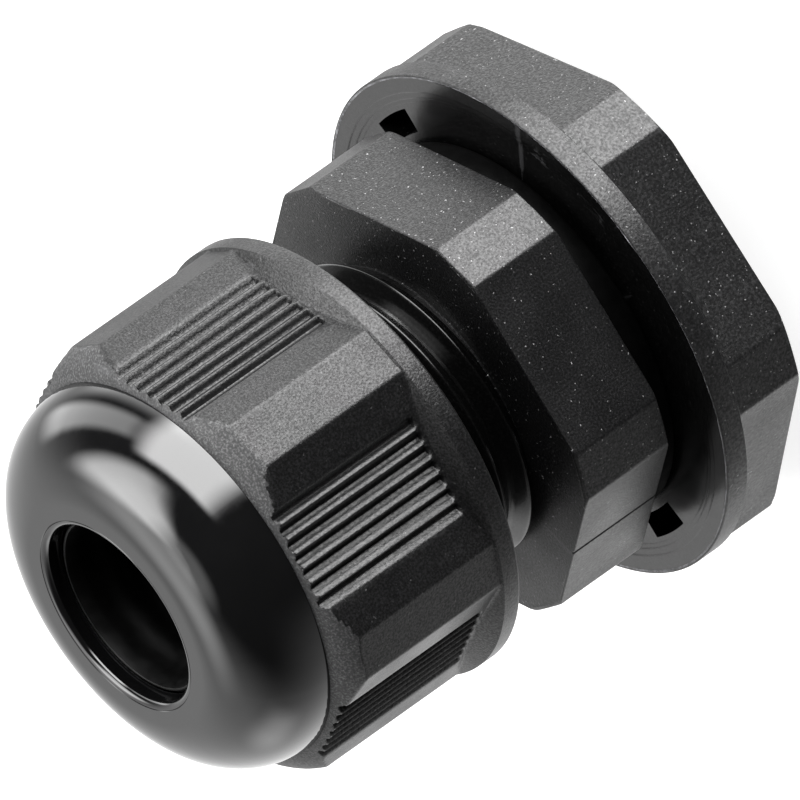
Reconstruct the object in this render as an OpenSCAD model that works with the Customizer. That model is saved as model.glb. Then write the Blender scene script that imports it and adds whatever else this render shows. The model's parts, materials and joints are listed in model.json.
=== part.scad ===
// Cable gland: a hollow threaded body with a hexagon, a dome nut that closes a claw and a
// rubber seal round the cable, and a flat gasket and locknut that clamp a panel.
// Z runs along the cable, up towards the dome. Z = 0 is the free end of the entry thread.

/* [Hexagons] */
// Spanner size of the body and of the dome nut
hex_af = 19; // [18.5:0.1:19.5]
// Spanner size of the locknut
locknut_af = 22; // [21.5:0.1:22.5]
// Distance across the small flats on the corners of the body and dome nut
hex_corner_af = 20.6; // [20.2:0.1:21]
// Distance across the small flats on the corners of the locknut
locknut_corner_af = 24; // [23.4:0.1:24.4]
// Height of the body hexagon
hex_height = 4.7; // [4:0.1:5.5]
// Turned chamfer on the corners of the body hexagon, measured inwards
hex_chamfer = 0.15; // [0.05:0.05:0.3]
// Turned chamfer on the corners of the locknut's back, measured inwards
locknut_chamfer = 0.35; // [0.1:0.05:0.5]

/* [Threads] */
// Pitch of both threads, eighteen turns to the inch
pitch = 1.41; // [1.3:0.01:1.5]
// Crest diameter of the entry thread that goes through the panel
entry_thread_d = 15.2; // [15:0.1:15.4]
// Length of the entry thread below the hexagon
entry_length = 8; // [7.5:0.1:10]
// Crest diameter of the thread under the dome nut
clamp_thread_d = 14.6; // [14.4:0.1:14.8]
// Height of the thread under the dome nut, above the hexagon
clamp_length = 9.8; // [9.5:0.1:10]
// Depth of both threads
thread_depth = 0.7; // [0.5:0.05:0.75]
// Radial gap between a nut and its thread
thread_gap = 0.16; // [0.13:0.01:0.2]
// Crest height of the upper thread above the thread end, at zero degrees about Z
clamp_thread_phase = 1.1; // [0:0.01:1.41]

/* [Dome nut] */
// Gap between the hexagon and the loosened dome nut
nut_gap = 4.1; // [3.5:0.1:4.5]
// Turn of the dome nut's hexagon against the body's
nut_turn = -6.5; // [-30:0.5:30]
// Height of the round collar at the open end
collar_height = 0.9; // [0.6:0.1:1.2]
// Radius of the round collar
collar_r = 10.45; // [10.4:0.05:10.6]
// Radius where the dome meets the shoulder
dome_r = 9.1; // [9:0.05:9.3]
// Radius of the dome's rounding
dome_round = 3.75; // [3.2:0.05:3.9]
// Radius of the rounded shoulder round the foot of the dome
shoulder_round = 2.2; // [2:0.1:3]
// Radius of the cable mouth
mouth_r = 4.3; // [4.2:0.1:4.6]
// Number of grip grooves on each flat
grip_count = 7; // [3:1:7]
// Spacing of the grip grooves
grip_pitch = 0.7; // [0.6:0.05:0.75]
// Depth of the grip grooves
grip_depth = 0.3; // [0.15:0.05:0.35]

/* [Seal and claw] */
// Radius of the open seal, half the largest cable
seal_r = 4; // [3.5:0.1:4]
// Wall of the seal
seal_wall = 1; // [0.8:0.1:1]
// Wall of the claw's ring and fingers
claw_wall = 0.6; // [0.5:0.05:0.6]
// Number of fingers on the claw
finger_count = 10; // [6:2:12]
// Width of the slots between the fingers
finger_slot = 0.8; // [0.5:0.1:1]
// Number of keys that stop the claw from turning in the body
key_count = 4; // [2:1:4]
// Width of each key
key_width = 1.4; // [1:0.1:1.6]

/* [Gasket and locknut] */
// Thickness of the flat gasket
gasket_height = 1.4; // [1.2:0.1:1.8]
// Outer radius of the flat gasket
gasket_r = 9.1; // [8.9:0.1:9.3]
// Height of the locknut
locknut_height = 4.75; // [4:0.05:4.9]
// Turn of the locknut's hexagon against the body's
locknut_turn = 2.3; // [-30:0.1:30]
// Radius of the round rim at the locknut's face
rim_r = 12.2; // [12:0.05:12.3]
// Height of the round rim
rim_height = 1.1; // [0.8:0.1:1.3]
// Angular width of the two pockets in the locknut's face
pocket_angle = 15; // [10:1:20]
// Depth of the two pockets
pocket_depth = 1.6; // [1:0.1:2]

/* [Hidden] */

$fn = 96;
slack = 0.02;
skin = 0.05;
round_gap = 0.1;
edge_break = 0.1;
overlap = 0.2;
chamfer_rise = tan(30);
thread_steps = 36;
thread_rows = 6;

// Levels of the body
hex_bottom = entry_length;
hex_top = hex_bottom + hex_height;
body_top = hex_top + clamp_length;
clamp_crest_r = clamp_thread_d / 2;
entry_crest_r = entry_thread_d / 2;
thread_runout = 0.5;
entry_thread_phase = 0.4;

// Cavity of the body: a passage for the cable, and a wider bore for the claw and seal
passage_r = 4.6;
seat_rise = 1.5;
seat_level = hex_top + seat_rise;
claw_r = seal_r + seal_wall + skin + claw_wall;
claw_bore_r = claw_r + round_gap;
key_depth = 0.35;
key_r = claw_r + key_depth;
key_slot_r = key_r + round_gap;
bore_chamfer = 0.4;

// Levels of the dome nut
nut_bottom = hex_top + nut_gap;
collar_top = nut_bottom + collar_height;
ledge_rise = 0.55;
ledge_top = collar_top + ledge_rise;
flat_r = hex_af / 2;
dome_rise = 9.55;
dome_base = nut_bottom + dome_rise;
dome_top = dome_base + dome_round;
shoulder_r = collar_r + overlap;
shoulder_centre_r = shoulder_r - shoulder_round;
shoulder_level = dome_base - sqrt(shoulder_round ^ 2 - (dome_r - shoulder_centre_r) ^ 2);
grip_low = ledge_top + 0.05;
grip_high = dome_base - 0.15;
grip_width = 0.5;
grip_floor = 0.12;

// Cavity of the dome nut: the thread with its lead-in, a relief, a bore, and the clamping cone
nut_lead_in = 0.5;
nut_thread_length = 4.8;
nut_relief_r = clamp_crest_r + 0.2;
nut_relief_rise = 3;
nut_relief_top = body_top + nut_relief_rise;
nut_bore_r = claw_r + 0.4;
cone_height = 1.7;
mouth_depth = 0.9;
cone_top = dome_top - mouth_depth;
cone_base = cone_top - cone_height;
lip_chamfer = 0.3;

// Levels of the claw and the seal
seal_rise = 3;
seal_foot_height = 1;
seal_foot_bottom = seat_level + seal_rise;
seal_foot_top = seal_foot_bottom + seal_foot_height;
claw_bottom = seal_foot_top + skin;
claw_ring_height = 1.4;
ring_top = claw_bottom + claw_ring_height;
head_height = 1.3;
head_top = cone_base - round_gap;
head_bottom = head_top - head_height;
head_r = nut_bore_r - 0.12;
head_chamfer = 0.3;
claw_top = cone_base + 0.6;
seal_tube_r = seal_r + seal_wall;
seal_taper = 1.05;
seal_top = cone_top + 0.05;
seal_tip_r = mouth_r - 0.15;
seal_lead_in = 0.05;
seal_lead_in_depth = 0.3;

// Levels of the gasket and the locknut
gasket_bottom = hex_bottom - gasket_height;
gasket_bore_r = entry_crest_r + round_gap;
locknut_top = gasket_bottom;
locknut_bottom = locknut_top - locknut_height;
rim_bottom = locknut_top - rim_height;
rim_ledge = 0.8;
pocket_inner_r = 9.45;
pocket_outer_r = 10.55;
pocket_turn = 4;
locknut_mouth_r = entry_crest_r + thread_gap + round_gap;
locknut_entry = thread_depth + overlap;

// Outline of a hexagon whose corners are cut off by small flats
module hexagon(across_flats, across_corners) {
    intersection() {
        circle(r = across_flats / sqrt(3), $fn = 6);
        rotate(30) circle(r = across_corners / sqrt(3), $fn = 6);
    }
}

module hexagon_prism(across_flats, across_corners, low, high) {
    translate([0, 0, low])
        linear_extrude(high - low) hexagon(across_flats, across_corners);
}

// Largest radius of that outline, at the edges of its corner flats
function hexagon_reach(across_flats, across_corners) =
    norm([across_corners / 2, across_flats - across_corners * cos(30)]);

// Cylinder with turned chamfers, which trims the corners of a hexagon
module chamfered_blank(reach, low, high, low_cut, high_cut) {
    turned([
        [0, low], [reach - low_cut, low], [reach, low + low_cut * chamfer_rise],
        [reach, high - high_cut * chamfer_rise], [reach - high_cut, high], [0, high]
    ]);
}

// Solid of revolution from [radius, height] points
module turned(points) {
    rotate_extrude() polygon(points);
}

module ring(inner_r, outer_r, low, high) {
    translate([0, 0, low]) difference() {
        cylinder(r = outer_r, h = high - low);
        translate([0, 0, -1]) cylinder(r = inner_r, h = high - low + 2);
    }
}

// Radius of a rounded thread, a share of one pitch away from the crest
function thread_r(crest_r, share) =
    crest_r - thread_depth * (0.5 - 0.5 * cos(360 * share));

// Right-hand threaded rod between two levels, with a crest at the height "phase" at zero degrees.
// Its rows climb with the helix, so the last column of each turn meets the first, one turn up.
module threaded_rod(crest_r, phase, low, high) {
    first = floor((low - phase) / pitch) - 2;
    turns = ceil((high - low) / pitch) + 4;
    rows = turns * thread_rows;
    points = [
        for (row = [0 : rows], step = [0 : thread_steps])
            let (angle = 360 * step / thread_steps, r = thread_r(crest_r, row / thread_rows))
            [r * cos(angle), r * sin(angle),
             phase + pitch * (first + row / thread_rows + step / thread_steps)]
    ];
    // The column at 360 degrees repeats the one at zero, a turn up, so it is used only at the top
    function at(row, step) =
        step == thread_steps && row + thread_rows <= rows ? at(row + thread_rows, 0)
        : row * (thread_steps + 1) + step;
    low_hub = len(points);
    high_hub = low_hub + 1;
    hubs = [
        [0, 0, phase + pitch * (first + 0.5)],
        [0, 0, phase + pitch * (first + turns + 0.5)]
    ];
    sides = [
        for (row = [0 : rows - 1], step = [0 : thread_steps - 1])
            each [
                [at(row, step), at(row + 1, step), at(row + 1, step + 1)],
                [at(row, step), at(row + 1, step + 1), at(row, step + 1)]
            ]
    ];
    low_end = [for (step = [0 : thread_steps - 1]) [low_hub, at(0, step), at(0, step + 1)]];
    low_step = [for (row = [0 : thread_rows - 1]) [low_hub, at(row + 1, 0), at(row, 0)]];
    high_end = [
        for (step = [0 : thread_steps - 1]) [high_hub, at(rows, step + 1), at(rows, step)]
    ];
    high_step = [
        for (row = [rows - thread_rows : rows - 1])
            [high_hub, at(row + 1, thread_steps), at(row, thread_steps)]
    ];
    intersection() {
        polyhedron(concat(points, hubs), concat(sides, low_end, low_step, high_end, high_step));
        translate([0, 0, low]) cylinder(r = crest_r + 2, h = high - low);
    }
}

// Body: hexagon, a thread each way, and the stepped cavity
module body() {
    color([0.10, 0.10, 0.105]) difference() {
        union() {
            intersection() {
                hexagon_prism(hex_af, hex_corner_af, hex_bottom, hex_top);
                chamfered_blank(hexagon_reach(hex_af, hex_corner_af), hex_bottom, hex_top,
                                hex_chamfer, hex_chamfer);
            }
            threaded_rod(entry_crest_r, entry_thread_phase, 0, hex_bottom + thread_runout);
            threaded_rod(clamp_crest_r, clamp_thread_phase, hex_top - thread_runout, body_top);
        }
        translate([0, 0, -1]) cylinder(r = passage_r, h = body_top + 2);
        translate([0, 0, seat_level]) cylinder(r = claw_bore_r, h = body_top);
        translate([0, 0, body_top - bore_chamfer])
            cylinder(r1 = claw_bore_r, r2 = claw_bore_r + bore_chamfer, h = bore_chamfer + slack);
        for (i = [0 : key_count - 1])
            rotate(360 * i / key_count) key_slot();
    }
}

// Straight slot in the body's bore for one of the claw's keys
module key_slot() {
    slot_width = key_width + 2 * round_gap;
    translate([0, -slot_width / 2, seat_level]) cube([key_slot_r, slot_width, body_top]);
}

// Dome nut: collar, grooved hexagon, shoulder and dome outside; thread and clamping cone inside
module dome_nut() {
    color([0.09, 0.09, 0.095]) difference() {
        union() {
            turned([
                [0, nut_bottom], [collar_r - edge_break, nut_bottom],
                [collar_r, nut_bottom + edge_break], [collar_r, collar_top],
                [flat_r, ledge_top], [flat_r - overlap, ledge_top + overlap],
                [0, ledge_top + overlap]
            ]);
            intersection() {
                rotate(nut_turn)
                    hexagon_prism(hex_af, hex_corner_af, collar_top - overlap, dome_top + overlap);
                rotate_extrude() dome_outline();
            }
        }
        dome_cavity();
        rotate(nut_turn)
            for (side = [0 : 5], groove = [0 : grip_count - 1])
                rotate(30 + 60 * side)
                    translate([flat_r, (groove - (grip_count - 1) / 2) * grip_pitch, 0])
                        grip_groove();
    }
}

// Half section of the dome and shoulder
module dome_outline() {
    translate([0, nut_bottom + slack])
        square([shoulder_r, shoulder_level - nut_bottom]);
    intersection() {
        translate([shoulder_centre_r, shoulder_level]) circle(r = shoulder_round);
        translate([0, shoulder_level]) square([shoulder_r, dome_base - shoulder_level]);
    }
    translate([0, shoulder_level]) square([shoulder_centre_r + slack, dome_base - shoulder_level]);
    translate([0, dome_base - slack]) square([dome_r - dome_round, dome_round + slack]);
    intersection() {
        translate([dome_r - dome_round, dome_base]) circle(r = dome_round);
        translate([0, dome_base - slack]) square([dome_r, dome_round + overlap]);
    }
}

// Everything hollow in the dome nut, from the open end to the mouth
module dome_cavity() {
    thread_top = nut_bottom + nut_thread_length;
    entry_r = clamp_crest_r + nut_lead_in;
    threaded_rod(clamp_crest_r + thread_gap, clamp_thread_phase, nut_bottom - overlap, thread_top);
    turned([
        [0, nut_bottom - overlap], [entry_r, nut_bottom - overlap], [entry_r, nut_bottom],
        [clamp_crest_r, nut_bottom + nut_lead_in], [0, nut_bottom + nut_lead_in]
    ]);
    turned([
        [0, thread_top - slack], [nut_relief_r, thread_top - slack], [nut_relief_r, nut_relief_top],
        [nut_bore_r, nut_relief_top], [nut_bore_r, cone_base], [mouth_r, cone_top], [0, cone_top]
    ]);
    translate([0, 0, cone_base]) cylinder(r = mouth_r, h = dome_top);
    translate([0, 0, dome_top - lip_chamfer])
        cylinder(r1 = mouth_r, r2 = mouth_r + lip_chamfer + slack, h = lip_chamfer + slack);
}

// One straight grip groove, cut inwards from a flat along X
module grip_groove() {
    translate([0, 0, grip_low])
        linear_extrude(grip_high - grip_low)
            polygon([
                [skin, -grip_width / 2], [-grip_depth, -grip_floor / 2],
                [-grip_depth, grip_floor / 2], [skin, grip_width / 2]
            ]);
}

// Clamping claw: keyed ring with upright fingers, whose heads lie under the nut's cone
module clamping_claw() {
    inner_r = seal_tube_r + skin;
    color([0.13, 0.13, 0.13]) difference() {
        union() {
            turned([
                [inner_r, claw_bottom], [claw_r, claw_bottom],
                [claw_r, head_bottom - head_chamfer], [head_r, head_bottom], [head_r, head_top],
                [claw_r - head_chamfer, claw_top], [inner_r, claw_top]
            ]);
            for (i = [0 : key_count - 1])
                rotate(360 * i / key_count) claw_key(inner_r);
        }
        for (i = [0 : finger_count / 2 - 1])
            rotate(180 / finger_count + 360 * i / finger_count)
                translate([-claw_r - 1, -finger_slot / 2, ring_top])
                    cube([2 * claw_r + 2, finger_slot, claw_top]);
    }
}

module claw_key(inner_r) {
    key_start = inner_r + claw_wall / 2;
    translate([key_start, -key_width / 2, claw_bottom])
        cube([key_r - key_start, key_width, ring_top - claw_bottom]);
}

// Sealing insert: rubber sleeve with a foot under the claw's ring and a tapered top
module sealing_insert() {
    color([0.06, 0.06, 0.06]) turned([
        [seal_r, seal_foot_bottom], [claw_r, seal_foot_bottom], [claw_r, seal_foot_top],
        [seal_tube_r, seal_foot_top], [seal_tube_r, seal_top - seal_taper],
        [seal_tip_r, seal_top], [seal_r + seal_lead_in, seal_top],
        [seal_r, seal_top - seal_lead_in_depth]
    ]);
}

// Gasket: flat ring that seals the hexagon against the panel
module gasket() {
    color([0.05, 0.05, 0.05])
        ring(gasket_bore_r, gasket_r, gasket_bottom + slack, hex_bottom - slack);
}

// Locknut: hexagon with a round rim at its face, a thread, and two pockets in the face
module locknut() {
    color([0.10, 0.10, 0.105]) difference() {
        union() {
            intersection() {
                rotate(locknut_turn)
                    hexagon_prism(locknut_af, locknut_corner_af, locknut_bottom, rim_bottom + slack);
                chamfered_blank(hexagon_reach(locknut_af, locknut_corner_af) + slack,
                                locknut_bottom, rim_bottom + 1, locknut_chamfer, 0);
            }
            turned([
                [0, rim_bottom - rim_ledge], [locknut_af / 2 - overlap, rim_bottom - rim_ledge],
                [rim_r, rim_bottom], [rim_r, locknut_top - edge_break],
                [rim_r - edge_break, locknut_top], [0, locknut_top]
            ]);
        }
        threaded_rod(entry_crest_r + thread_gap, entry_thread_phase,
                     locknut_bottom - 1, locknut_top + 1);
        for (end = [0, 1])
            locknut_entry_chamfer(end);
        for (side = [0, 180])
            rotate(locknut_turn + pocket_turn + side) locknut_pocket();
    }
}

// Lead-in at the face (end 1) or the back (end 0) of the locknut's thread
module locknut_entry_chamfer(end) {
    level = end == 1 ? locknut_top : locknut_bottom;
    flip = end == 1 ? 1 : -1;
    turned([
        [0, level - flip * locknut_entry],
        [locknut_mouth_r - locknut_entry, level - flip * locknut_entry],
        [locknut_mouth_r, level], [locknut_mouth_r, level + flip], [0, level + flip]
    ]);
}

module locknut_pocket() {
    half_width = pocket_outer_r * sin(pocket_angle / 2);
    translate([pocket_inner_r, -half_width, locknut_top - pocket_depth])
        cube([pocket_outer_r - pocket_inner_r, 2 * half_width, pocket_depth + 1]);
}

body();
dome_nut();
clamping_claw();
sealing_insert();
gasket();
locknut();
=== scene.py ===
"""Cable gland: the looks of a moulded nylon gland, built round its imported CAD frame.

Each piece but the claw is a closed skin of rings about the Z axis. Sizes are in millimetres, and become
metres when a mesh is made. Angles are in degrees about Z, from +X towards +Y, and heights are above the
free end of the entry thread.
"""

import json
import math

import bpy
import numpy as np
from mathutils import Matrix, Vector


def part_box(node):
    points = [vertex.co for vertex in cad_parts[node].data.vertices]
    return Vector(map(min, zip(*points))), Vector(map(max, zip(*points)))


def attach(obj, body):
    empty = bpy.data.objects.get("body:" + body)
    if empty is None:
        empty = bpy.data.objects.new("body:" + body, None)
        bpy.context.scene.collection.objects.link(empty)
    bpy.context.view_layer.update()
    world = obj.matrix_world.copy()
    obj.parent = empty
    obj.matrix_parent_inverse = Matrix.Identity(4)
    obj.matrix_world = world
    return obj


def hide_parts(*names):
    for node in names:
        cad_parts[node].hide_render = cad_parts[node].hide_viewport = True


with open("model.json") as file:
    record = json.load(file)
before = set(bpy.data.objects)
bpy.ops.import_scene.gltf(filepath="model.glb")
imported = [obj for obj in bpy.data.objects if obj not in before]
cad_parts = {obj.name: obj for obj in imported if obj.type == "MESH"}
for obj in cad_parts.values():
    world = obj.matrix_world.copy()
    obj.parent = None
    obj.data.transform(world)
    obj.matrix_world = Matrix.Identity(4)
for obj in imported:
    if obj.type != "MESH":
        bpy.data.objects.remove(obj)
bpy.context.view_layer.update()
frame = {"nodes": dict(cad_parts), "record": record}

MM = 0.001


# --- Sizes taken from the frame -------------------------------------------------------------------

def levels(node):
    """Lowest and highest level of a CAD node, in millimetres."""
    low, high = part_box(node)
    return low.z / MM, high.z / MM


def mount_radius(name):
    """Radius of one of the record's mounts, in millimetres."""
    return next(m["dims"]["r_mm"] for m in frame["record"]["mounts"] if m["name"] == name)


BODY_BOTTOM, BODY_TOP = levels("body")
NUT_BOTTOM, NUT_TOP = levels("dome_nut")
SEAL_BOTTOM, SEAL_TOP = levels("sealing_insert")
GASKET_BOTTOM, GASKET_TOP = levels("gasket")
LOCKNUT_BOTTOM, LOCKNUT_TOP = levels("locknut")
MOUTH_R = mount_radius("cable_mouth")
SEAL_R = mount_radius("cable_seal")
PASSAGE_R = mount_radius("cable_exit")
ENTRY_CREST_R = mount_radius("entry_thread")

# --- Sizes of the design --------------------------------------------------------------------------

HEX_BOTTOM, HEX_TOP = 8.0, 12.7
HEX_FLAT_R, HEX_CORNER_R = 9.5, 10.3
LOCKNUT_FLAT_R, LOCKNUT_CORNER_R = 11.0, 12.0
NUT_TURN, LOCKNUT_TURN = -6.5, 2.3
HEX_CHAMFER, LOCKNUT_CHAMFER = 0.15, 0.35
EDGE_ROUND = 0.05

PITCH, THREAD_DEPTH, THREAD_GAP = 1.41, 0.7, 0.16
CLAMP_CREST_R = 7.3
CLAMP_PHASE, ENTRY_PHASE = 1.1, 0.4
CREST_SHARE, ROOT_SHARE = 0.06, 0.44
LEAD_IN = 0.7
COIL_STEPS = 120
# Heights past a thread's root end between which its ridge rises to full depth
COIL_FADE_START, COIL_FADE_END = 0.28, 0.38
# Height between a core's end ring and the ring next to it, which keeps the corner's shading even
CORE_EASE = 0.1

# Witness line where the halves of the body's mould met
PARTING_ANGLE, PARTING_WIDTH, PARTING_DEPTH = -150.0, 0.22, 0.05
PARTING_HALF = math.degrees(PARTING_WIDTH / 2 / HEX_FLAT_R)

CLAW_BORE_R, SEAT_LEVEL, BORE_CHAMFER = 5.75, 14.2, 0.4
KEY_SLOT_R, KEY_SLOT_WIDTH, KEY_COUNT = 6.1, 1.6, 4
# Angle from the middle of a key slot to its wall, and half the angle that the wall's column spans
KEY_SLOT_HALF = math.degrees(math.asin(KEY_SLOT_WIDTH / 2 / CLAW_BORE_R))
KEY_SLOT_EDGE = 0.3

COLLAR_R, COLLAR_TOP, LEDGE_TOP = 10.45, 17.7, 18.25
DOME_R, DOME_BASE, DOME_ROUND = 9.1, 26.35, 3.75
SHOULDER_R, SHOULDER_ROUND = 10.65, 2.2
SHOULDER_CENTRE_R = SHOULDER_R - SHOULDER_ROUND
SHOULDER_BASE = DOME_BASE - math.sqrt(SHOULDER_ROUND ** 2 - (DOME_R - SHOULDER_CENTRE_R) ** 2)
GRIP_COUNT, GRIP_PITCH, GRIP_DEPTH = 7, 0.7, 0.3
GRIP_LOW, GRIP_HIGH = LEDGE_TOP + 0.05, DOME_BASE - 0.1
GRIP_COLUMNS = 8
LIP_ROUND = 0.3
FOOT_GROOVE, LIP_GROOVE = 0.04, 0.03
CONE_TOP, CONE_BASE = NUT_TOP - 0.9, NUT_TOP - 2.6
NUT_BORE_R, NUT_LEAD_IN, NUT_THREAD_TOP = 6.05, 0.5, NUT_BOTTOM + 4.8
RELIEF_R, RELIEF_TOP = CLAMP_CREST_R + 0.2, BODY_TOP + 3

RIM_R, RIM_BOTTOM, RIM_LEDGE = 12.2, 5.5, 0.8
FLASH_HEIGHT = 0.035
POCKET_INNER_R, POCKET_OUTER_R, POCKET_DEPTH, POCKET_ANGLE = 9.45, 10.55, 1.6, 15.0
POCKET_MIDDLE = LOCKNUT_TURN + 4
# Radius and depth of each turned step in the locknut's face
FACE_STEPS = ((11.32, 0.05), (11.0, 0.05), (10.8, 0.02))
FACE_SINK, FACE_INNER_R = 0.03, 9.2

GASKET_R, GASKET_BULGE = 9.1, 0.08
SEAL_WALL, SEAL_FOOT_WIDTH, SEAL_FOOT_HEIGHT = 1.0, 0.65, 1
SEAL_TAPER, SEAL_TIP_R, SEAL_TIP_BORE_R = 1.05, MOUTH_R - 0.15, SEAL_R + 0.05
RIB_SPACING, RIB_DEPTH, RIB_MARGIN = 1.6, 0.12, 0.6


# --- Shape helpers --------------------------------------------------------------------------------

def soft_min(a, b, blend):
    """The smaller of two values, rounded where they cross."""
    share = np.clip(0.5 + 0.5 * (b - a) / blend, 0, 1)
    return b * (1 - share) + a * share - blend * share * (1 - share)


def soft_max(a, b, blend):
    """The larger of two values, rounded where they cross."""
    return -soft_min(-a, -b, blend)


def step_up(x, low, high):
    """Smooth step from 0 at low to 1 at high."""
    t = np.clip((x - low) / (high - low), 0, 1)
    return t * t * (3 - 2 * t)


def hexagon_r(angles, flat_r, corner_r, turn, blend=EDGE_ROUND):
    """Radius of a hexagon whose corners are cut off by small flats, with rounded edges."""
    off_corner = (angles - turn + 30) % 60 - 30
    flats = flat_r / np.cos(np.radians(30 - abs(off_corner)))
    corners = corner_r / np.cos(np.radians(off_corner))
    return soft_min(flats, corners, blend)


def corner_edge(flat_r, corner_r):
    """Angle from the middle of a corner flat to its edge."""
    half_width = (flat_r - corner_r * math.cos(math.radians(30))) / math.sin(math.radians(30))
    return math.degrees(math.atan(half_width / corner_r))


def hexagon_reach(flat_r, corner_r):
    """Largest radius of such a hexagon, at the edges of its corner flats."""
    return corner_r / math.cos(math.radians(corner_edge(flat_r, corner_r)))


def flash(angles, seed):
    """Height of the thin, uneven flash that a mould leaves along an edge."""
    turn = np.radians(angles)
    waves = sum(np.sin(turn * k + seed * k * k) / math.sqrt(k) for k in (7, 17, 31, 53))
    return FLASH_HEIGHT * np.clip(0.45 + 1.3 * waves, 0.1, 1.6)


def below_crest(share):
    """Depth of a thread with straight flanks, at a share of one pitch from its crest."""
    flank = THREAD_DEPTH * (abs(share) - CREST_SHARE / 2) / (ROOT_SHARE - CREST_SHARE / 2)
    rounded_crest = soft_max(flank, np.zeros_like(flank), 0.07)
    return soft_min(rounded_crest, np.full_like(flank, THREAD_DEPTH), 0.1)


def thread_r(angles, height, crest_r, phase):
    """Radius of a right-hand thread at one height."""
    turns = (height - phase) / PITCH - angles / 360
    return crest_r - below_crest((turns + 0.5) % 1 - 0.5)


def lead_in_r(crest_r, from_end):
    """Radius of the cone that trims a thread's free end."""
    return crest_r - LEAD_IN + from_end


def arc(centre_r, centre_z, radius, start, end, count):
    """Points (r, z) along a circular arc in the half section; angles in degrees from +r towards +Z."""
    return [
        (centre_r + radius * math.cos(math.radians(a)), centre_z + radius * math.sin(math.radians(a)))
        for a in np.linspace(start, end, count)
    ]


def sector_angles(flat_r, corner_r, turn, step, clear=0):
    """Column angles for a hexagon: even steps, except within clear degrees of the middle of a flat,
    and closer ones at the edges of each corner flat."""
    edge = corner_edge(flat_r, corner_r)
    close = [side * edge + d for side in (-1, 1) for d in (-1.2, -0.6, -0.3, -0.1, 0.1, 0.3, 0.6, 1.2)]
    even = [
        a for a in np.arange(0, 60, step)
        if min(abs((a - c + 30) % 60 - 30) for c in close) > step / 2 and abs(a - 30) >= clear
    ]
    return [turn + 60 * side + a for side in range(6) for a in even + close]


def tidy_angles(*groups):
    """All the angles in order from 0 to 360, without near repeats."""
    merged = sorted({round(a % 360, 3) for group in groups for a in group})
    kept = [a for a, b in zip(merged, merged[1:] + [merged[0] + 360]) if b - a > 0.03]
    return np.array(kept)


# --- Building meshes ------------------------------------------------------------------------------

class Skin:
    """A closed skin of rings about the Z axis. Each ring joins the next, and the last joins the first."""

    def __init__(self, angles):
        self.angles = angles
        self.rings = []
        self.finishes = []
        self.finish = 0
        self.coils = []

    def ring(self, radius, height):
        count = len(self.angles)
        radii = np.broadcast_to(radius, count)
        heights = np.broadcast_to(height, count)
        turn = np.radians(self.angles)
        self.rings.append(np.stack([radii * np.cos(turn), radii * np.sin(turn), heights], axis=1))
        self.finishes.append(np.broadcast_to(self.finish, count))

    def path(self, points):
        for radius, height in points:
            self.ring(radius, height)

    def rounded(self, before, corner, after, radius, count=5):
        """Rings round a corner of the half section, between the directions of two neighbours."""
        here = np.array(corner, float)
        to_before = np.array(before, float) - here
        to_after = np.array(after, float) - here
        to_before /= np.linalg.norm(to_before)
        to_after /= np.linalg.norm(to_after)
        for t in np.linspace(0, 1, count):
            share = np.array([(1 - t) ** 2, t ** 2])
            point = here + radius * (share[0] * to_before + share[1] * to_after)
            self.ring(*point)

    def coil(self, crest_r, phase, free_end, root_end):
        """A thread's ridge, swept along its helix as a closed shell whose foot is sunk in the core.
        It is trimmed by a cone at its free end, and fades out just before it meets its root end."""
        flank = np.linspace(0.08, 0.5, 8)
        shares = np.concatenate([-flank[::-1], np.linspace(-0.05, 0.05, 7), flank])
        radii = crest_r - below_crest(shares)
        radii[[0, -1]] -= 0.1
        bottom, top = sorted((free_end, root_end))
        outwards = math.copysign(1, free_end - root_end)
        first, last = math.floor((bottom - phase) / PITCH), math.ceil((top - phase) / PITCH)
        rows = []
        for turns in np.linspace(first, last, (last - first) * COIL_STEPS + 1):
            heights = np.clip(phase + PITCH * (turns + shares), bottom + 0.01, top - 0.01)
            past_root = outwards * (phase + PITCH * turns - root_end)
            fade = step_up(past_root, COIL_FADE_START, COIL_FADE_END)
            faded_r = crest_r - (1 - fade) * (THREAD_DEPTH + 0.05)
            trimmed = np.minimum(radii, lead_in_r(crest_r, abs(heights - free_end)))
            trimmed = np.minimum(trimmed, faded_r)
            turn = 2 * math.pi * turns
            rows.append(np.stack([trimmed * math.cos(turn), trimmed * math.sin(turn), heights], axis=1))
        self.coils.append((rows, self.finish))

    def build(self, name, materials):
        rows, count = len(self.rings), len(self.angles)
        points = np.concatenate(self.rings)
        faces = []
        finishes = []
        for i in range(rows):
            above = (i + 1) % rows
            for j in range(count):
                beside = (j + 1) % count
                faces.append((i * count + j, i * count + beside, above * count + beside, above * count + j))
                finishes.append(int(self.finishes[i][j]))
        for sections, finish in self.coils:
            coil_faces = swept_faces(len(sections), len(sections[0]), len(points))
            points = np.concatenate([points, *sections])
            faces += coil_faces
            finishes += [finish] * len(coil_faces)
        mesh = bpy.data.meshes.new(name)
        mesh.from_pydata((points * MM).tolist(), [], faces)
        for material in materials:
            mesh.materials.append(material)
        mesh.polygons.foreach_set("material_index", finishes)
        return add_piece(name, mesh)


def swept_faces(rows, count, start):
    """Faces of a closed section swept through rows of points, with a cap at each end."""
    faces = []
    for i in range(start, start + (rows - 1) * count, count):
        for j in range(count):
            beside = (j + 1) % count
            faces.append((i + j, i + count + j, i + count + beside, i + beside))
    first_cap = tuple(range(start, start + count))
    last_cap = tuple(reversed(range(start + (rows - 1) * count, start + rows * count)))
    return faces + [first_cap, last_cap]


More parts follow.
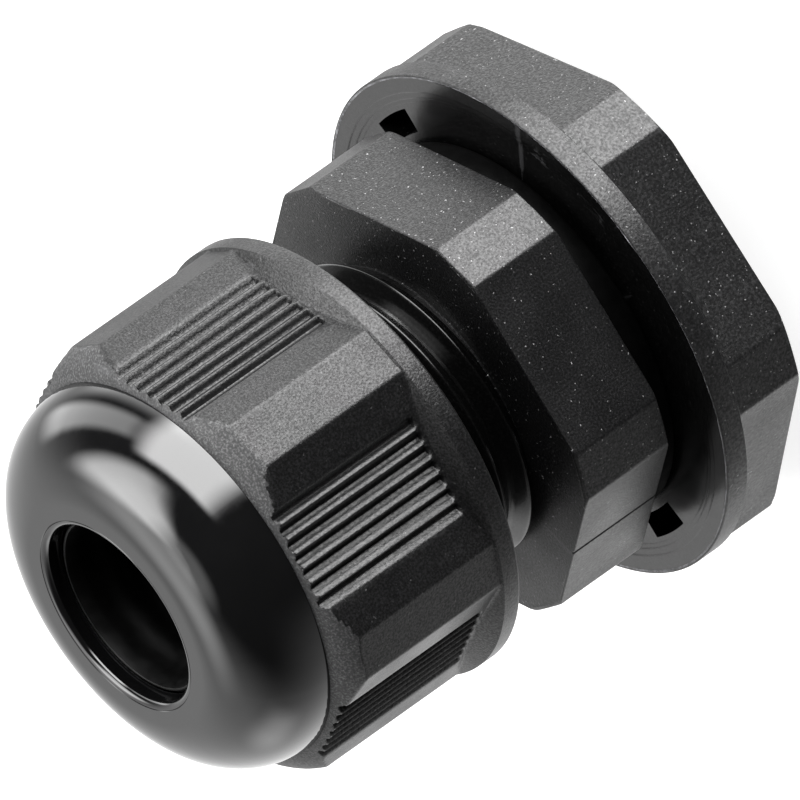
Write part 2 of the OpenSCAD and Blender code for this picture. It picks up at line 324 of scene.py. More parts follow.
def add_piece(name, mesh, sharp_angle=38):
    """A piece from a mesh, shaded smooth except across sharp edges."""
    mesh.validate()
    piece = bpy.data.objects.new(name, mesh)
    bpy.context.scene.collection.objects.link(piece)
    mesh.shade_smooth()
    mesh.set_sharp_from_angle(angle=math.radians(sharp_angle))
    even_flats = piece.modifiers.new("even_flats", "WEIGHTED_NORMAL")
    even_flats.keep_sharp = True
    return piece


def stand_for(piece, node, body):
    """Puts a piece in the place of a CAD node, on its moving body, and hides the node."""
    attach(piece, body)
    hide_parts(node)
    return piece


# --- Pieces ---------------------------------------------------------------------------------------

def key_slot_r(angles):
    """Radius of the body's bore, wider at the slots for the claw's keys."""
    spacing = 360 / KEY_COUNT
    off_slot = abs((angles + spacing / 2) % spacing - spacing / 2)
    wall = step_up(off_slot, KEY_SLOT_HALF - KEY_SLOT_EDGE, KEY_SLOT_HALF + KEY_SLOT_EDGE)
    return KEY_SLOT_R - (KEY_SLOT_R - CLAW_BORE_R) * wall


def key_slot_angles():
    """Columns at both edges of each key slot."""
    return [
        360 * i / KEY_COUNT + side * KEY_SLOT_HALF + d
        for i in range(KEY_COUNT) for side in (-1, 1) for d in (-KEY_SLOT_EDGE, 0, KEY_SLOT_EDGE)
    ]


def parting_line(angles):
    """Depth of the fine witness line where the halves of the body's mould met."""
    off_line = abs((angles - PARTING_ANGLE + 90) % 180 - 90)
    return PARTING_DEPTH * (1 - step_up(off_line, PARTING_HALF * 0.3, PARTING_HALF))


def parting_angles():
    """Columns across each parting line."""
    shares = (-1, -0.65, -0.3, 0.3, 0.65, 1)
    return [PARTING_ANGLE + turn + share * PARTING_HALF for turn in (0, 180) for share in shares]


def make_body(materials):
    """Hexagon with a thread each way, the stepped bore, and the slots for the claw's keys."""
    hexagon_angles = sector_angles(HEX_FLAT_R, HEX_CORNER_R, 0, 1.4)
    angles = tidy_angles(hexagon_angles, key_slot_angles(), parting_angles())
    skin = Skin(angles)
    outline = hexagon_r(angles, HEX_FLAT_R, HEX_CORNER_R, 0) - parting_line(angles)
    matte, smooth = 0, 1

    # Entry thread's core, from its free end up to the hexagon
    skin.finish = smooth
    core_r = ENTRY_CREST_R - THREAD_DEPTH
    for height in (BODY_BOTTOM, BODY_BOTTOM + CORE_EASE, HEX_BOTTOM - CORE_EASE, HEX_BOTTOM):
        skin.ring(core_r, height)
    skin.coil(ENTRY_CREST_R, ENTRY_PHASE, BODY_BOTTOM, HEX_BOTTOM)

    skin.finish = matte
    hexagon_sides(skin, outline)

    # Clamp thread's core, from the hexagon to the body's open end
    core_r = CLAMP_CREST_R - THREAD_DEPTH
    skin.path([(core_r + 0.2, HEX_TOP), (core_r, HEX_TOP)])
    skin.finish = smooth
    for height in (HEX_TOP + CORE_EASE, BODY_TOP - CORE_EASE, BODY_TOP):
        skin.ring(core_r, height)
    skin.coil(CLAMP_CREST_R, CLAMP_PHASE, BODY_TOP, HEX_TOP)

    # Bore: a chamfered mouth, the keyed bore, the seat, and the passage
    bore = key_slot_r(angles)
    skin.ring(np.maximum(bore, CLAW_BORE_R + BORE_CHAMFER), BODY_TOP)
    skin.ring(np.maximum(bore, CLAW_BORE_R + 0.02), BODY_TOP - BORE_CHAMFER)
    skin.ring(bore, BODY_TOP - BORE_CHAMFER - EDGE_ROUND)
    skin.ring(bore, SEAT_LEVEL)
    skin.rounded((CLAW_BORE_R, SEAT_LEVEL), (PASSAGE_R, SEAT_LEVEL), (PASSAGE_R, BODY_BOTTOM), 0.15)
    skin.rounded((PASSAGE_R, SEAT_LEVEL), (PASSAGE_R, BODY_BOTTOM), (ENTRY_CREST_R, BODY_BOTTOM), 0.2)
    return skin.build("threaded_body", materials)


def chamfered(outline, reach, chamfer, from_end):
    """An outline whose corners are trimmed by a turned chamfer, at a height from the hexagon's end."""
    limit = reach - chamfer + from_end / math.tan(math.radians(30))
    return soft_min(outline, np.full_like(outline, limit), 0.03)


def rounded_levels(edge, depth, count=6):
    """Inward offsets and heights of rings that round an edge, and then step on to a depth."""
    turns = np.radians(np.linspace(0, 90, count))
    steps = [(edge * (1 - math.sin(t)), edge * (1 - math.cos(t))) for t in turns]
    return steps + [(0, h) for h in np.linspace(edge * 1.5, depth, 4)]


def hexagon_sides(skin, outline):
    """The flats of the body's hexagon, with chamfered corners, rounded rims, and a line of flash."""
    reach = hexagon_reach(HEX_FLAT_R, HEX_CORNER_R)
    levels_in = rounded_levels(EDGE_ROUND, HEX_CHAMFER)
    for inset, rise in levels_in:
        skin.ring(chamfered(outline, reach, HEX_CHAMFER, rise) - inset, HEX_BOTTOM + rise)
    for inset, rise in reversed(levels_in):
        skin.ring(chamfered(outline, reach, HEX_CHAMFER, rise) - inset, HEX_TOP - rise)
    edge = chamfered(outline, reach, HEX_CHAMFER, 0) - EDGE_ROUND
    skin.ring(edge - 0.02, HEX_TOP + flash(skin.angles, 2.0) * 0.4)
    skin.ring(edge - 0.06, HEX_TOP)
    skin.ring(edge - 0.1, HEX_TOP)


def grip_angles():
    """Columns across each flat of the dome nut, evenly spaced over its grooves."""
    half = GRIP_COUNT * GRIP_PITCH / 2
    places = np.linspace(-half, half, GRIP_COUNT * GRIP_COLUMNS + 1)
    across = np.degrees(np.arctan(places / HEX_FLAT_R))
    return [NUT_TURN + 30 + 60 * side + a for side in range(6) for a in across]


def grip_depth(angles, height):
    """Depth of the rounded grip grooves across the flats at one height."""
    off_flat = (angles - NUT_TURN) % 60 - 30
    across = HEX_FLAT_R * np.tan(np.radians(off_flat))
    nearest = np.clip(np.round(across / GRIP_PITCH), -(GRIP_COUNT - 1) / 2, (GRIP_COUNT - 1) / 2)
    off_groove = abs(across - nearest * GRIP_PITCH) / (GRIP_PITCH / 2)
    profile = 1 - step_up(off_groove, 0.08, 0.95)
    round_end = 0.12 * off_groove ** 2
    rear = step_up(height - GRIP_LOW - round_end, 0, 0.12)
    front = step_up(GRIP_HIGH - height - round_end, 0, 0.08)
    return GRIP_DEPTH * profile * rear * front


def shoulder_r(height):
    """Radius of the dome nut's shoulder, straight below its base and rounded above."""
    rise = max(height - SHOULDER_BASE, 0)
    return SHOULDER_CENTRE_R + math.sqrt(SHOULDER_ROUND ** 2 - rise ** 2)


def nut_outline(angles, height):
    """Radius of the dome nut's hexagon, ledge and shoulder at one height."""
    hexagon = hexagon_r(angles, HEX_FLAT_R, HEX_CORNER_R, NUT_TURN)
    shoulder = np.full_like(hexagon, shoulder_r(height))
    grooved = hexagon - grip_depth(angles, height)
    ledge_slope = (COLLAR_R - HEX_FLAT_R) / (LEDGE_TOP - COLLAR_TOP)
    ledge = np.full_like(hexagon, COLLAR_R - ledge_slope * (height - COLLAR_TOP))
    return soft_max(soft_min(grooved, shoulder, 0.05), ledge, 0.04)


def make_dome_nut(materials):
    """Dome nut: collar, ledge, grooved flats and matte shoulder, polished dome, and the threaded inside."""
    grooved_half = math.degrees(math.atan(GRIP_COUNT * GRIP_PITCH / 2 / HEX_FLAT_R))
    plain = sector_angles(HEX_FLAT_R, HEX_CORNER_R, NUT_TURN, 2.0, grooved_half)
    angles = tidy_angles(plain, grip_angles())
    skin = Skin(angles)
    matte, gloss, satin = 0, 1, 2

    skin.finish = matte
    skin.rounded((CLAMP_CREST_R, NUT_BOTTOM), (COLLAR_R, NUT_BOTTOM), (COLLAR_R, COLLAR_TOP), 0.15)
    skin.ring(COLLAR_R, COLLAR_TOP - 0.25)
    for height in np.linspace(COLLAR_TOP - 0.05, GRIP_LOW + 0.3, 22):
        skin.ring(np.minimum(nut_outline(angles, height), COLLAR_R), height)
    for height in np.linspace(GRIP_LOW + 0.6, SHOULDER_BASE, 6):
        skin.ring(nut_outline(angles, height), height)
    foot_turn = math.asin((DOME_BASE - SHOULDER_BASE) / SHOULDER_ROUND)
    for turn in np.linspace(0.1, 1, 34):
        height = SHOULDER_BASE + SHOULDER_ROUND * math.sin(foot_turn * turn)
        outline = nut_outline(angles, height)
        skin.finish = np.where(outline > shoulder_r(height) - 0.02, satin, matte)
        skin.ring(outline, height)

    # A fine groove parts the shoulder from the polished dome, and another the dome from its rounded lip
    skin.finish = satin
    skin.ring(DOME_R + FOOT_GROOVE / 2, DOME_BASE)
    skin.ring(DOME_R, DOME_BASE - FOOT_GROOVE)
    skin.finish = gloss
    centre_r = DOME_R - DOME_ROUND
    skin.path(arc(centre_r, DOME_BASE, DOME_ROUND, 0, 90, 44))
    lip_r = MOUTH_R + LIP_ROUND
    skin.path([(lip_r + 0.1, NUT_TOP), (lip_r + 0.05, NUT_TOP), (lip_r + 0.025, NUT_TOP - LIP_GROOVE)])
    skin.path(arc(lip_r, NUT_TOP - LIP_ROUND, LIP_ROUND - 0.005, 90, 180, 14))

    # Inside: the mouth's bore, the clamping cone, the relief and the thread
    skin.finish = matte
    skin.ring(MOUTH_R, CONE_TOP + 0.05)
    skin.ring(MOUTH_R, CONE_TOP)
    skin.rounded((MOUTH_R, CONE_TOP), (NUT_BORE_R, CONE_BASE), (NUT_BORE_R, RELIEF_TOP), 0.1)
    skin.rounded((NUT_BORE_R, CONE_BASE), (NUT_BORE_R, RELIEF_TOP), (RELIEF_R, RELIEF_TOP), 0.1)
    skin.rounded((NUT_BORE_R, RELIEF_TOP), (RELIEF_R, RELIEF_TOP), (RELIEF_R, NUT_THREAD_TOP), 0.1)
    skin.ring(RELIEF_R, NUT_THREAD_TOP + 0.05)
    for height in np.linspace(NUT_THREAD_TOP, NUT_BOTTOM, 30):
        lead_in = CLAMP_CREST_R + NUT_LEAD_IN - (height - NUT_BOTTOM)
        thread = thread_r(angles, height, CLAMP_CREST_R + THREAD_GAP, CLAMP_PHASE)
        skin.ring(soft_max(thread, np.full_like(thread, lead_in), 0.05), height)
    return skin.build("dome_nut_shell", materials)


def pocket_depth(angles, radius):
    """Depth of the two pockets in the locknut's face at one radius."""
    off_pocket = abs((angles - POCKET_MIDDLE + 90) % 180 - 90)
    inside = POCKET_INNER_R < radius < POCKET_OUTER_R
    wall = step_up(off_pocket, POCKET_ANGLE / 2 - 0.1, POCKET_ANGLE / 2 + 0.1)
    return POCKET_DEPTH * (1 - wall) * inside


def pocket_angles():
    """Columns at both ends of each pocket."""
    return [
        POCKET_MIDDLE + turn + side * POCKET_ANGLE / 2 + d
        for turn in (0, 180) for side in (-1, 1) for d in (-0.1, 0, 0.1)
    ]


def make_locknut(materials):
    """Locknut: hexagon, round rim, and a smooth stepped face with two pockets."""
    hexagon_angles = sector_angles(LOCKNUT_FLAT_R, LOCKNUT_CORNER_R, LOCKNUT_TURN, 0.6)
    angles = tidy_angles(hexagon_angles, pocket_angles())
    skin = Skin(angles)
    matte, smooth, pale_edged = 0, 1, 2
    hexagon = hexagon_r(angles, LOCKNUT_FLAT_R, LOCKNUT_CORNER_R, LOCKNUT_TURN)
    reach = hexagon_reach(LOCKNUT_FLAT_R, LOCKNUT_CORNER_R)
    thread_crest = ENTRY_CREST_R + THREAD_GAP

    skin.finish = matte
    for inset, rise in rounded_levels(0.12, LOCKNUT_CHAMFER):
        skin.ring(chamfered(hexagon, reach, LOCKNUT_CHAMFER, rise) - inset, LOCKNUT_BOTTOM + rise)
    ledge_slope = (RIM_R - LOCKNUT_FLAT_R + 0.2) / RIM_LEDGE
    for height in np.linspace(RIM_BOTTOM - RIM_LEDGE, RIM_BOTTOM, 14):
        ledge = np.full_like(hexagon, RIM_R - (RIM_BOTTOM - height) * ledge_slope)
        skin.ring(soft_max(hexagon, ledge, 0.05), height)
    skin.rounded((RIM_R, RIM_BOTTOM), (RIM_R, LOCKNUT_TOP), (RIM_R - 1, LOCKNUT_TOP), 0.07)
    skin.finish = pale_edged
    skin.ring(RIM_R - 0.08, LOCKNUT_TOP)
    level = LOCKNUT_TOP - FACE_SINK
    skin.ring(RIM_R - 0.11, level + flash(angles, 1.0))

    # Face: turned steps with crisp edges, then the ring that holds the pockets
    skin.finish = smooth
    skin.path([(RIM_R - 0.16, level), (RIM_R - 0.2, level)])
    for edge_r, drop in FACE_STEPS:
        skin.ring(edge_r + 0.1, level)
        skin.rounded((edge_r + 0.3, level), (edge_r, level), (edge_r, level - drop), drop * 0.9)
        level -= drop
        skin.path([(edge_r - 0.01, level), (edge_r - 0.05, level)])
    for wall_r in (POCKET_OUTER_R, POCKET_INNER_R):
        for radius in (wall_r + 0.02, wall_r - 0.02):
            skin.ring(radius, level - pocket_depth(angles, radius))
    skin.ring(FACE_INNER_R, level)

    skin.finish = matte
    for height in np.linspace(level, LOCKNUT_BOTTOM, 40):
        lead_top = thread_crest + 0.1 - (LOCKNUT_TOP - height)
        lead_bottom = thread_crest + 0.1 - (height - LOCKNUT_BOTTOM)
        thread = thread_r(angles, height, thread_crest, ENTRY_PHASE)
        lead_in = np.full_like(thread, max(lead_top, lead_bottom))
        skin.ring(soft_max(thread, lead_in, 0.05), height)
    return skin.build("locknut_ring", materials)


def make_gasket(materials):
    """Flat rubber ring, its rims rounded and its outer wall a little bulged."""
    inner, outer = ENTRY_CREST_R + 0.1, GASKET_R
    skin = Skin(np.arange(0, 360, 2.0))
    middle = (GASKET_BOTTOM + GASKET_TOP) / 2
    low, high = GASKET_BOTTOM, GASKET_TOP
    skin.rounded((inner, low), (outer - GASKET_BULGE, low), (outer, middle), 0.2)
    skin.ring(outer, middle)
    skin.rounded((outer, middle), (outer - GASKET_BULGE, high), (inner, high), 0.2)
    skin.rounded((outer, high), (inner, high), (inner, low), 0.15)
    skin.rounded((inner, high), (inner, low), (outer, low), 0.15)
    return skin.build("flat_gasket", materials)


def make_seal(materials):
    """Rubber sleeve with a foot under the claw, a tapered top, and shallow ribs round its bore."""
    tube_r = SEAL_R + SEAL_WALL
    foot_r, foot_top = tube_r + SEAL_FOOT_WIDTH, SEAL_BOTTOM + SEAL_FOOT_HEIGHT
    taper = SEAL_TOP - SEAL_TAPER
    skin = Skin(np.arange(0, 360, 2.5))
    skin.rounded((SEAL_R, SEAL_BOTTOM), (foot_r, SEAL_BOTTOM), (foot_r, foot_top), 0.15)
    skin.rounded((foot_r, SEAL_BOTTOM), (foot_r, foot_top), (tube_r, foot_top), 0.15)
    skin.rounded((foot_r, foot_top), (tube_r, foot_top), (tube_r, taper), 0.05)
    skin.rounded((tube_r, foot_top), (tube_r, taper), (SEAL_TIP_R, SEAL_TOP), 0.1)
    skin.rounded((tube_r, taper), (SEAL_TIP_R, SEAL_TOP), (SEAL_R, SEAL_TOP), 0.03)
    skin.rounded((SEAL_TIP_R, SEAL_TOP), (SEAL_TIP_BORE_R, SEAL_TOP), (SEAL_R, SEAL_TOP - 0.3), 0.03)
    top, bottom = SEAL_TOP - RIB_MARGIN, SEAL_BOTTOM + RIB_MARGIN
    for height in np.linspace(top, bottom, 90):
        share = (top - height) / RIB_SPACING
        skin.ring(SEAL_R + RIB_DEPTH * (0.5 - 0.5 * math.cos(2 * math.pi * share)), height)
    skin.rounded((SEAL_R, SEAL_TOP), (SEAL_R, SEAL_BOTTOM), (foot_r, SEAL_BOTTOM), 0.2)
    return skin.build("rubber_seal_sleeve", materials)


def finish_cad_node(node, material, edge=0.06):
    """A CAD node shown as it is, with its material and a small bevel on its sharp edges."""
    piece = frame["nodes"][node]
    piece.data.materials.clear()
    piece.data.materials.append(material)
    weld = piece.modifiers.new("weld", "WELD")
    weld.merge_threshold = 1e-6
    bevel = piece.modifiers.new("edges", "BEVEL")
    bevel.width = edge * MM
    bevel.segments = 2
    bevel.limit_method = "ANGLE"
    bevel.angle_limit = math.radians(40)
    return piece


# --- Materials ------------------------------------------------------------------------------------

BLACK_NYLON = (0.002, 0.002, 0.0021)
# Colours of the nylon's edges, pale from wear and a painted highlight, and of dust on the nylon
EDGE_WEAR_AND_HIGHLIGHT_COLOUR, DUST_COLOUR = (0.06, 0.06, 0.062), (0.25, 0.25, 0.25)


def new_material(name):
    material = bpy.data.materials.new(name)
    material.use_nodes = True
    nodes = material.node_tree.nodes
    return material, nodes, material.node_tree.links, nodes["Principled BSDF"]


def noise(nodes, links, place, cell_mm, detail=3.0, roughness=0.5):
    """Noise whose grains are about cell_mm across."""
    node = nodes.new("ShaderNodeTexNoise")
    node.inputs["Scale"].default_value = 1 / (cell_mm * MM)
    node.inputs["Detail"].default_value = detail
    node.inputs["Roughness"].default_value = roughness
    links.new(place, node.inputs["Vector"])
    return node.outputs["Fac"]


def ramp(nodes, links, value, stops):
    """A colour ramp from (place, brightness) or (place, colour) stops."""
    node = nodes.new("ShaderNodeValToRGB")
    elements = node.color_ramp.elements
    while len(elements) < len(stops):
        elements.new(0.5)
    for element, (place, colour) in zip(elements, stops):
        element.position = place
        element.color = (*colour, 1) if isinstance(colour, tuple) else (colour, colour, colour, 1)
    links.new(value, node.inputs["Fac"])
    return node.outputs["Color"]


def bump(nodes, links, height, depth_mm, strength):
    node = nodes.new("ShaderNodeBump")
    node.inputs["Strength"].default_value = strength
    node.inputs["Distance"].default_value = depth_mm * MM
    links.new(height, node.inputs["Height"])
    return node.outputs["Normal"]


def mix_colour(nodes, links, factor, first, second):
    """A colour between two, each a colour or another node's output."""
    node = nodes.new("ShaderNodeMix")
    node.data_type = "RGBA"
    for slot, value in (("A", first), ("B", second)):
        if isinstance(value, tuple):
            node.inputs[slot].default_value = (*value, 1)
        else:
            links.new(value, node.inputs[slot])
    links.new(factor, node.inputs["Factor"])
    return node.outputs["Result"]


def nylon(name, colour, rough, grain_mm=0.1, grain_depth=0.016, dust=0.5, shine=(0.18, 0.38)):
    """Black moulded nylon: a spark-eroded grain with painted glints, patches of gloss, pale dust specks, and
    edges pale from wear and a painted highlight.
    """
    material, nodes, links, shader = new_material(name)
    place = nodes.new("ShaderNodeTexCoord").outputs["Object"]
    grain = noise(nodes, links, place, grain_mm, 2.0, 0.6)
    patches = noise(nodes, links, place, 2.5, 3.0)
    specks = noise(nodes, links, place, 0.13, 1.0)
    edges = nodes.new("ShaderNodeNewGeometry").outputs["Pointiness"]

    low, high = rough
    links.new(ramp(nodes, links, patches, [(0.35, low), (0.65, high)]), shader.inputs["Roughness"])
    dull, bright = shine
    links.new(ramp(nodes, links, grain, [(0.35, dull), (0.65, bright)]), shader.inputs["Specular IOR Level"])

    # Pale specks on the high grain are painted glints, standing in for light that the grain catches
    pale = tuple(c * 3 for c in colour)
    painted_glints = ramp(nodes, links, grain, [(0.5, 0.0), (0.7, 1.0)])
    grain_with_painted_glints = mix_colour(nodes, links, painted_glints, colour, pale)
    # Convex edges turn paler: partly wear, partly a painted highlight along the edges
    edge_wear_and_highlight = ramp(nodes, links, edges, [(0.54, 0.0), (0.64, 0.25)])
    pale_edged = mix_colour(nodes, links, edge_wear_and_highlight, grain_with_painted_glints, EDGE_WEAR_AND_HIGHLIGHT_COLOUR)
    dusty = ramp(nodes, links, specks, [(0.72, 0.0), (0.76, dust)])
    finished = mix_colour(nodes, links, dusty, pale_edged, DUST_COLOUR)
    links.new(finished, shader.inputs["Base Color"])

    links.new(bump(nodes, links, grain, grain_depth, 1.0), shader.inputs["Normal"])
    return material


def flash_edge(name, colour):
    """Nylon stressed pale in places, where flash was torn off an edge."""
    material, nodes, links, shader = new_material(name)
    place = nodes.new("ShaderNodeTexCoord").outputs["Object"]
    tears = noise(nodes, links, place, 0.4, 4.0, 0.7)
    pale = tuple(c * 12 for c in colour)
    links.new(ramp(nodes, links, tears, [(0.42, colour), (0.62, pale)]), shader.inputs["Base Color"])
    links.new(ramp(nodes, links, tears, [(0.4, 0.35), (0.7, 0.6)]), shader.inputs["Roughness"])
    links.new(bump(nodes, links, tears, 0.03, 0.8), shader.inputs["Normal"])
    return material


def polished(name, colour):
    """Polished black nylon: glossy, with faint moulding waves and fine rubbing marks."""
    material, nodes, links, shader = new_material(name)
    place = nodes.new("ShaderNodeTexCoord").outputs["Object"]
    waves = noise(nodes, links, place, 3.0, 2.0)
    rubs = noise(nodes, links, place, 0.3, 4.0, 0.7)
    links.new(ramp(nodes, links, rubs, [(0.4, 0.05), (0.7, 0.11)]), shader.inputs["Roughness"])
    shade = tuple(c * 0.7 for c in colour)
    links.new(ramp(nodes, links, waves, [(0.3, shade), (0.7, colour)]), shader.inputs["Base Color"])
    links.new(bump(nodes, links, waves, 0.02, 0.4), shader.inputs["Normal"])
    return material


def rubber(name, colour, shine, ior=1.5):
    """Soft black rubber: satin, with a fine bloom and a slight mottling."""
    material, nodes, links, shader = new_material(name)
    place = nodes.new("ShaderNodeTexCoord").outputs["Object"]
    bloom = noise(nodes, links, place, 0.6, 5.0, 0.65)
    grain = noise(nodes, links, place, 0.06, 2.0)
    links.new(ramp(nodes, links, bloom, [(0.35, 0.38), (0.7, 0.55)]), shader.inputs["Roughness"])
    pale = tuple(c * 1.8 for c in colour)
    links.new(ramp(nodes, links, bloom, [(0.4, colour), (0.75, pale)]), shader.inputs["Base Color"])
    shader.inputs["Specular IOR Level"].default_value = shine
    shader.inputs["IOR"].default_value = ior
    links.new(bump(nodes, links, grain, 0.006, 0.6), shader.inputs["Normal"])
    return material


# --- Camera, floor and light ----------------------------------------------------------------------

VIEW_AZIMUTH, VIEW_ELEVATION, VIEW_ROLL = 9.0, 26.3, 125.15
VIEW_DISTANCE, VIEW_WIDTH = 1260.0, 33.53
VIEW_CENTRE_HEIGHT, VIEW_SHIFT = 8.0, (-4.361, -2.415)
SENSOR_WIDTH = 36

# Brightness of the grey that the camera sees past the floor
BACKDROP = 0.6
# Half the floor's side and its depth below the gland, in metres
FLOOR_HALF, FLOOR_DROP = 1.5, 0.05 * MM
# Distances from the axis where the floor's painted pool of light ends, and where its grey begins, in metres
PAINTED_POOL_END, GREY_START = 0.085, 0.115
# The floor's painted glow, on top of the studio's light that it reflects: strong in the pool round the
# object, lower further off
PAINTED_POOL_GLOW, PAINTED_FAR_GLOW = 0.8, BACKDROP - 0.25


def view_axes():
    """Right, up and back directions of the camera, from its place round the object and its roll."""
    a, e, r = (math.radians(d) for d in (VIEW_AZIMUTH, VIEW_ELEVATION, VIEW_ROLL))
    side = Vector((math.cos(a), math.sin(a), 0))
    away = Vector((-math.sin(a), math.cos(a), 0))
    lift = Vector((0, 0, 1))
    back = lift * math.sin(e) - away * math.cos(e)
    level_up = lift * math.cos(e) + away * math.sin(e)
    right = side * math.cos(r) - level_up * math.sin(r)
    up = side * math.sin(r) + level_up * math.cos(r)
    return right, up, back


def make_camera():
    """The photograph's camera: far off, with a narrow view, shifted to frame the gland as the photo does."""
    data = bpy.data.cameras.new("camera")
    camera = bpy.data.objects.new("camera", data)
    bpy.context.scene.collection.objects.link(camera)
    right, up, back = view_axes()
    target = Vector((0, 0, VIEW_CENTRE_HEIGHT)) + right * VIEW_SHIFT[0] + up * VIEW_SHIFT[1]
    camera.matrix_world = Matrix.Translation((target + back * VIEW_DISTANCE) * MM) @ Matrix(
        [[right[i], up[i], back[i]] for i in range(3)]
    ).to_4x4()
    data.sensor_width = SENSOR_WIDTH
    data.lens = data.sensor_width * VIEW_DISTANCE / VIEW_WIDTH
    data.clip_start, data.clip_end = 0.01, 20
    bpy.context.scene.camera = camera


def make_floor():
    """A wide pale floor with a painted pool of light: it glows white round the object and is pale grey
    further off. It lets the studio's light through from below, and can't be seen from underneath."""
    half, level = FLOOR_HALF, -FLOOR_DROP
    mesh = bpy.data.meshes.new("floor")
    corners = [(-half, -half, level), (half, -half, level), (half, half, level), (-half, half, level)]
    mesh.from_pydata(corners, [], [(0, 1, 2, 3)])
    floor = bpy.data.objects.new("floor", mesh)
    bpy.context.scene.collection.objects.link(floor)
    material, nodes, links, shader = new_material("pale_floor")
    place = nodes.new("ShaderNodeTexCoord").outputs["Object"]
    length = nodes.new("ShaderNodeVectorMath")
    length.operation = "LENGTH"
    links.new(place, length.inputs[0])
    distance = length.outputs["Value"]
    # Painted pool of light: the floor's colour and glow are highest round the object and fall off further out
    shade = ramp(nodes, links, distance, [(PAINTED_POOL_END, 0.4), (GREY_START, 0.02)])
    painted_glow = ramp(nodes, links, distance, [(PAINTED_POOL_END, PAINTED_POOL_GLOW), (GREY_START, PAINTED_FAR_GLOW)])
    links.new(shade, shader.inputs["Base Color"])
    links.new(painted_glow, shader.inputs["Emission Strength"])
    shader.inputs["Roughness"].default_value = 0.9
    shader.inputs["Emission Color"].default_value = (1, 1, 1, 1)
    underneath = nodes.new("ShaderNodeNewGeometry").outputs["Backfacing"]
    links.new(calculate(nodes, links, "SUBTRACT", 1, underneath), shader.inputs["Alpha"])
    mesh.materials.append(material)
    floor.visible_shadow = False
    floor.visible_glossy = False
    floor.visible_diffuse = False


# Soft patches of studio light: azimuth and elevation of the middle, half width, half height, softness
# of the sides and of the ends, all in degrees, and the brightness
SIDE_BOX = (53, -10, 26, 36, 9, 5, 15.0)
WALL_BAND = (116, 4, 30, 11, 8, 5, 4.2)
LOW_GLOW = (102, -44, 36, 24, 12, 9, 3.8)
TOP_BOX = (102, 58, 40, 19, 16, 7, 9.0)
TOP_GLOW = (150, 68, 72, 18, 25, 12, 3.4)
ZENITH = (0, 86, 180, 9, 1, 6, 1.8)
BACK_WALL = (200, 10, 60, 55, 30, 30, 1.2)
LEFT_SPOT = (242, 13, 13, 10, 9, 9, 1.4)
LOW_TABLE = (255, -35, 50, 40, 24, 30, 0.65)
DARK_SIDE_GLOW = 0.07
PATCHES = (SIDE_BOX, WALL_BAND, LOW_GLOW, TOP_BOX, TOP_GLOW, ZENITH, BACK_WALL, LEFT_SPOT, LOW_TABLE)


def calculate(nodes, links, operation, *values):
    """A maths node, whose inputs are numbers or other nodes' outputs."""
    node = nodes.new("ShaderNodeMath")
    node.operation = operation
    for socket, value in zip(node.inputs, values):
        if isinstance(value, (int, float)):
            socket.default_value = value
        else:
            links.new(value, socket)
    return node.outputs[0]


def soft_edge(nodes, links, distance, half, softness):
    """1 inside half degrees, falling smoothly to 0 over the softness."""
    node = nodes.new("ShaderNodeMapRange")
    node.interpolation_type = "SMOOTHSTEP"
    node.inputs["From Min"].default_value = math.radians(half + softness)
    node.inputs["From Max"].default_value = math.radians(half - softness)
    links.new(distance, node.inputs["Value"])
    return node.outputs["Result"]


def soft_patch(nodes, links, azimuth, elevation, patch):
    """Brightness of one patch of light in the direction of an azimuth and elevation."""
    middle_a, middle_e, half_a, half_e, soft_a, soft_e, brightness = patch
    off_a = calculate(nodes, links, "SUBTRACT", azimuth, math.radians(middle_a))
    off_a = calculate(nodes, links, "WRAP", off_a, math.pi, -math.pi)
    off_e = calculate(nodes, links, "SUBTRACT", elevation, math.radians(middle_e))
    across = soft_edge(nodes, links, calculate(nodes, links, "ABSOLUTE", off_a), half_a, soft_a)
    along = soft_edge(nodes, links, calculate(nodes, links, "ABSOLUTE", off_e), half_e, soft_e)
    inside = calculate(nodes, links, "MULTIPLY", across, along)
    return calculate(nodes, links, "MULTIPLY", inside, brightness)


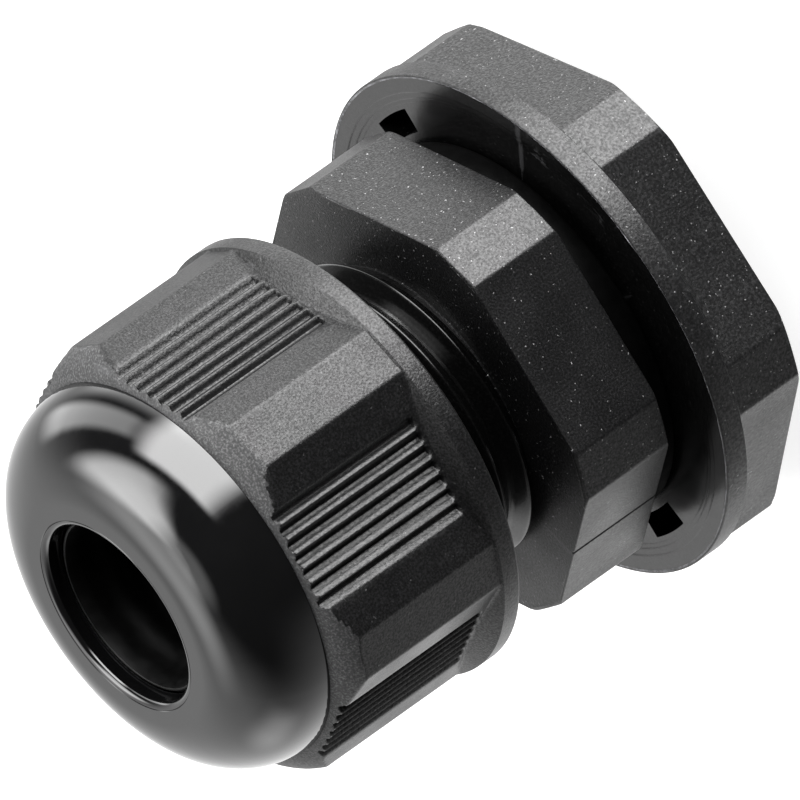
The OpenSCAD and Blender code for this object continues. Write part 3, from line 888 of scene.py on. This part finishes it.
def light_studio():
    """Two bright soft boxes, pale walls behind the object, and a dark side where the camera stands.
    The camera itself sees a plain pale grey past the floor."""
    world = bpy.data.worlds.new("studio")
    world.use_nodes = True
    nodes, links = world.node_tree.nodes, world.node_tree.links
    direction = nodes.new("ShaderNodeSeparateXYZ")
    links.new(nodes.new("ShaderNodeTexCoord").outputs["Generated"], direction.inputs[0])
    x, y, z = direction.outputs
    azimuth = calculate(nodes, links, "ARCTAN2", x, calculate(nodes, links, "MULTIPLY", y, -1))
    elevation = calculate(nodes, links, "ARCSINE", z)
    total = calculate(nodes, links, "ADD", 0, DARK_SIDE_GLOW)
    for patch in PATCHES:
        total = calculate(nodes, links, "ADD", total, soft_patch(nodes, links, azimuth, elevation, patch))
    seen = nodes.new("ShaderNodeLightPath").outputs["Is Camera Ray"]
    strength = nodes.new("ShaderNodeMix")
    links.new(seen, strength.inputs["Factor"])
    links.new(total, strength.inputs["A"])
    strength.inputs["B"].default_value = BACKDROP
    background = nodes["Background"]
    background.inputs["Color"].default_value = (1, 1, 1, 1)
    links.new(strength.outputs["Result"], background.inputs["Strength"])
    bpy.context.scene.world = world


# --- The gland ------------------------------------------------------------------------------------

matte_nylon = nylon("matte_nylon", BLACK_NYLON, (0.33, 0.4), dust=0.15)
dusty_nylon = nylon("matte_nylon_body", BLACK_NYLON, (0.33, 0.4), dust=0.6)
satin_nylon = nylon("satin_nylon_shoulder", (0.017, 0.017, 0.0173), (0.48, 0.56), grain_depth=0.008, dust=0.1)
matte_locknut = nylon("matte_nylon_locknut", (0.0035, 0.0035, 0.0036), (0.35, 0.42), grain_mm=0.12)
smooth_nylon = nylon(
    "smooth_nylon", (0.001, 0.001, 0.001), (0.2, 0.26), grain_depth=0.0015, dust=0.05, shine=(0.38, 0.48)
)
thread_nylon = nylon(
    "smooth_nylon_threads", (0.0008, 0.0008, 0.0008), (0.12, 0.18), grain_depth=0.001, dust=0.0,
    shine=(0.24, 0.32),
)
worn_nylon = flash_edge("worn_nylon_flash", (0.015, 0.015, 0.016))
gloss_nylon = polished("polished_nylon_dome", BLACK_NYLON)
claw_nylon = nylon("claw_nylon", (0.002, 0.002, 0.002), (0.3, 0.4), grain_depth=0.004, dust=0.05)
soft_rubber = rubber("seal_rubber", (0.0015, 0.0015, 0.0015), 0.15)
sheet_rubber = rubber("gasket_rubber", (0.0006, 0.0006, 0.0006), 0.3, ior=1.12)

make_camera()
make_floor()
light_studio()

stand_for(make_body([dusty_nylon, thread_nylon]), "body", "body")
stand_for(make_dome_nut([matte_nylon, gloss_nylon, satin_nylon]), "dome_nut", "dome_nut")
stand_for(make_locknut([matte_locknut, smooth_nylon, worn_nylon]), "locknut", "locknut")
stand_for(make_gasket([sheet_rubber]), "gasket", "gasket")
stand_for(make_seal([soft_rubber]), "sealing_insert", "claw_and_seal")
finish_cad_node("clamping_claw", claw_nylon)

bpy.context.scene.view_settings.view_transform = "Standard"
